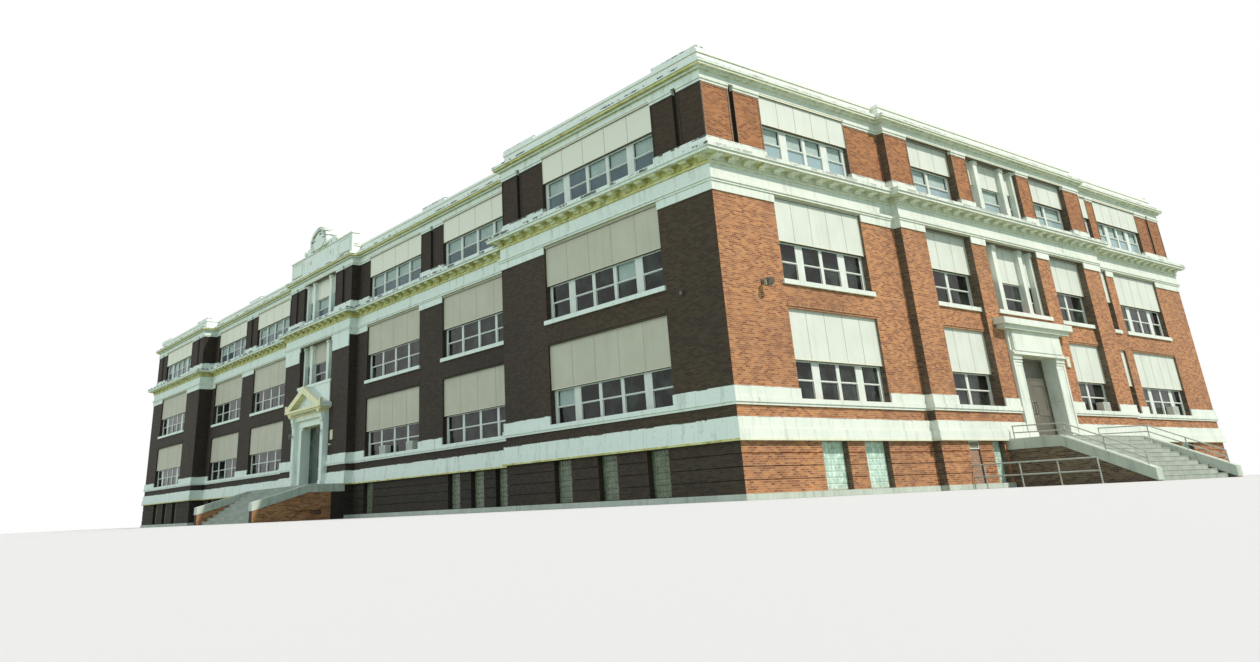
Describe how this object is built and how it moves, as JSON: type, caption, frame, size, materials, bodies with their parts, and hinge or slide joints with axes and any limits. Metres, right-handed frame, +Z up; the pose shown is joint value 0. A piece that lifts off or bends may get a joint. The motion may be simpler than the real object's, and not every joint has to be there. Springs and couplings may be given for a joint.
{
  "type": "school building scale model",
  "caption": "Hollow brick school building as a half-size model: raised basement, white cornices, long window bays, two portals with steps and hinged double doors.",
  "frame": {"origin": "middle of the plan on the ground, on the underside of the ground slab", "axes": "+X along the long front, +Y from the front to the rear, +Z up; the front with the main door faces -Y and the sunlit side with the side door faces +X"},
  "size_m": [37.043, 21.253, 8.6764],
  "materials": {
    "brick": "rough red-brown brick with pale joints",
    "infill_brick": "rough lighter brick",
    "white_trim": "painted cast stone, chalky and stained",
    "concrete": "worn concrete",
    "roofing": "gravel roofing",
    "wall_panel": "matte beige paint with vertical seams",
    "window_frame": "matte white paint",
    "window_glass": "clear glass over a dark room",
    "glass_block": "greenish pressed glass",
    "front_door_paint": "satin dark green paint",
    "side_door_paint": "satin grey-brown paint",
    "lamp_metal": "dull grey-brown paint",
    "unit_metal": "matte off-white paint",
    "rail_metal": "weathered pale paint"
  },
  "bodies": {
    "building": {"front_pavilion_walls": "brick", "front_wing_walls": "brick", "front_door_piers": "brick", "front_wall_over_door": "brick", "side_end_walls": "brick", "side_door_piers": "brick", "side_wall_over_door": "brick", "rear_walls": "brick", "far_side_walls": "brick", "concrete_base": "concrete", "water_table": "white_trim", "sill_course": "white_trim", "window_sills": "white_trim", "entablature": "white_trim", "main_cornice": "white_trim", "cornice_brackets": "white_trim", "attic_base_course": "white_trim", "attic_pier_panels": "brick", "top_cornice": "white_trim", "parapet": "white_trim", "centre_crest": "white_trim", "brick_lintels": "brick", "roof_deck": "roofing", "ground_slab": "concrete", "first_floor_slab": "concrete", "second_floor_slab": "concrete", "third_floor_slab": "concrete", "front_panels": "wall_panel", "side_panels": "wall_panel", "rear_panels": "wall_panel", "front_window_frames": "window_frame", "side_window_frames": "window_frame", "rear_window_frames": "window_frame", "front_glass": "window_glass", "side_glass": "window_glass", "rear_glass": "window_glass", "basement_windows": "glass_block", "basement_infill": "infill_brick", "centre_bay_pilasters": "white_trim", "front_portal": "white_trim", "side_portal": "white_trim", "front_door_frame": "front_door_paint", "side_door_frame": "side_door_paint", "front_steps": "concrete", "front_cheek_walls": "brick", "front_copings": "concrete", "side_steps": "concrete", "side_cheek_walls": "brick", "side_copings": "concrete", "stair_rails": "rail_metal", "guard_rail": "rail_metal", "wall_lights": "lamp_metal", "air_conditioners": "unit_metal"},
    "front_left_leaf": {"front_door_left_leaf": "front_door_paint"},
    "front_right_leaf": {"front_door_right_leaf": "front_door_paint"},
    "side_left_leaf": {"side_door_left_leaf": "side_door_paint"},
    "side_right_leaf": {"side_door_right_leaf": "side_door_paint"}
  },
  "joints": [
    {"name": "front_left_door_hinge", "type": "hinge", "parent": "building", "child": "front_left_leaf", "pos_m": [-0.662, -8.879, 1.5], "axis": [0, 0, -1], "range_deg": [0, 90]},
    {"name": "front_right_door_hinge", "type": "hinge", "parent": "building", "child": "front_right_leaf", "pos_m": [0.662, -8.879, 1.5], "axis": [0, 0, 1], "range_deg": [0, 90]},
    {"name": "side_left_door_hinge", "type": "hinge", "parent": "building", "child": "side_left_leaf", "pos_m": [16.869, -0.662, 1.5], "axis": [0, 0, -1], "range_deg": [0, 90]},
    {"name": "side_right_door_hinge", "type": "hinge", "parent": "building", "child": "side_right_leaf", "pos_m": [16.869, 0.662, 1.5], "axis": [0, 0, 1], "range_deg": [0, 90]}
  ]
}
